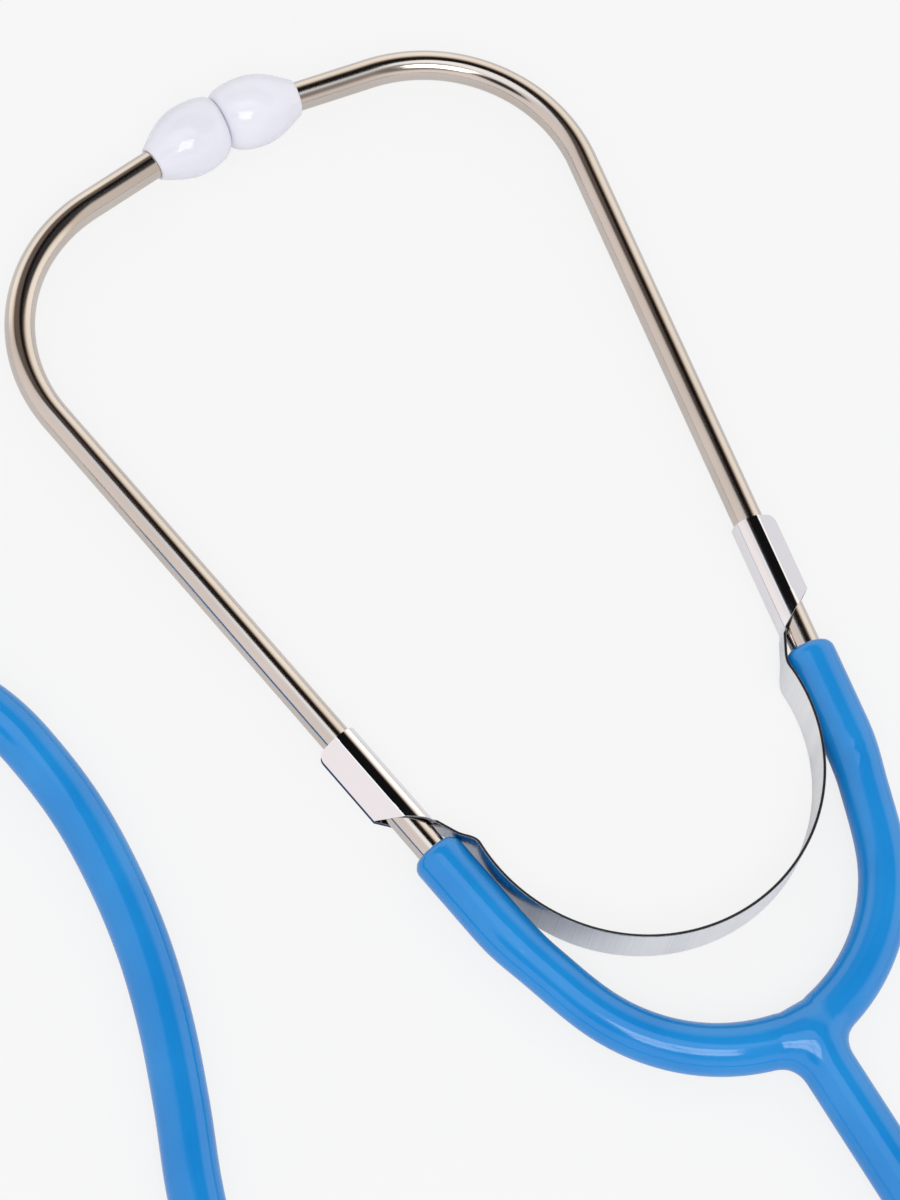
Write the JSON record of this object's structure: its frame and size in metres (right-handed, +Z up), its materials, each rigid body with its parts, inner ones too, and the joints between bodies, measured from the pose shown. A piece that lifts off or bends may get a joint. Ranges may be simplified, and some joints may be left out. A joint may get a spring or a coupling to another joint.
{
  "type": "toy stethoscope",
  "caption": "Toy stethoscope with a sprung headset, soft ear tips, a forked tube, a long hose and a flat chest piece, lying on a table.",
  "frame": {"origin": "on the floor, below the middle of the box round everything but the hose", "axes": "+Y along the headset from the forked tube's stem to the ear tips, +X towards its right ear tube, +Z up; the chest piece lies on the -X side"},
  "size_m": [0.2228, 0.3418, 0.0148],
  "materials": {
    "ear_tip_plastic": "smooth moulded plastic, glossy, very slightly lavender white",
    "tube_steel": "polished steel tube with a warm nickel tone",
    "spring_chrome": "bright plated spring steel",
    "blue_pvc": "soft dip-moulded PVC, glossy blue",
    "chest_stem_chrome": "bright plated turned metal",
    "chest_metal": "turned aluminium, satin",
    "diaphragm_plastic": "thin stiff plastic disc, matt off-white"
  },
  "bodies": {
    "tubing": {"y_tube": "blue_pvc", "leaf_spring": "spring_chrome", "hose": "blue_pvc", "chest_stem": "chest_stem_chrome", "chest_body": "chest_metal", "diaphragm": "diaphragm_plastic", "retaining_ring": "chest_metal"},
    "left_arm": {"left_ear_tube": "tube_steel", "left_ear_tip": "ear_tip_plastic"},
    "right_arm": {"right_ear_tube": "tube_steel", "right_ear_tip": "ear_tip_plastic"}
  },
  "joints": [
    {"name": "left_arm_spread", "type": "hinge", "parent": "tubing", "child": "left_arm", "pos_m": [0.02519, -0.05458, 0.006], "axis": [0, -0.0077, 1], "range_deg": [0, 18], "stiffness_Nm_per_rad": 1.2, "springref_deg": -2.86, "deforming": ["leaf_spring", "y_tube"]},
    {"name": "right_arm_spread", "type": "hinge", "parent": "tubing", "child": "right_arm", "pos_m": [0.0698, -0.05458, 0.006], "axis": [0, 0.0077, -1], "range_deg": [0, 18], "stiffness_Nm_per_rad": 1.2, "springref_deg": -2.86, "deforming": ["leaf_spring", "y_tube"]}
  ],
  "couplings": [
    {"joint": "left_arm_spread", "follows": "right_arm_spread", "ratio": 1}
  ]
}
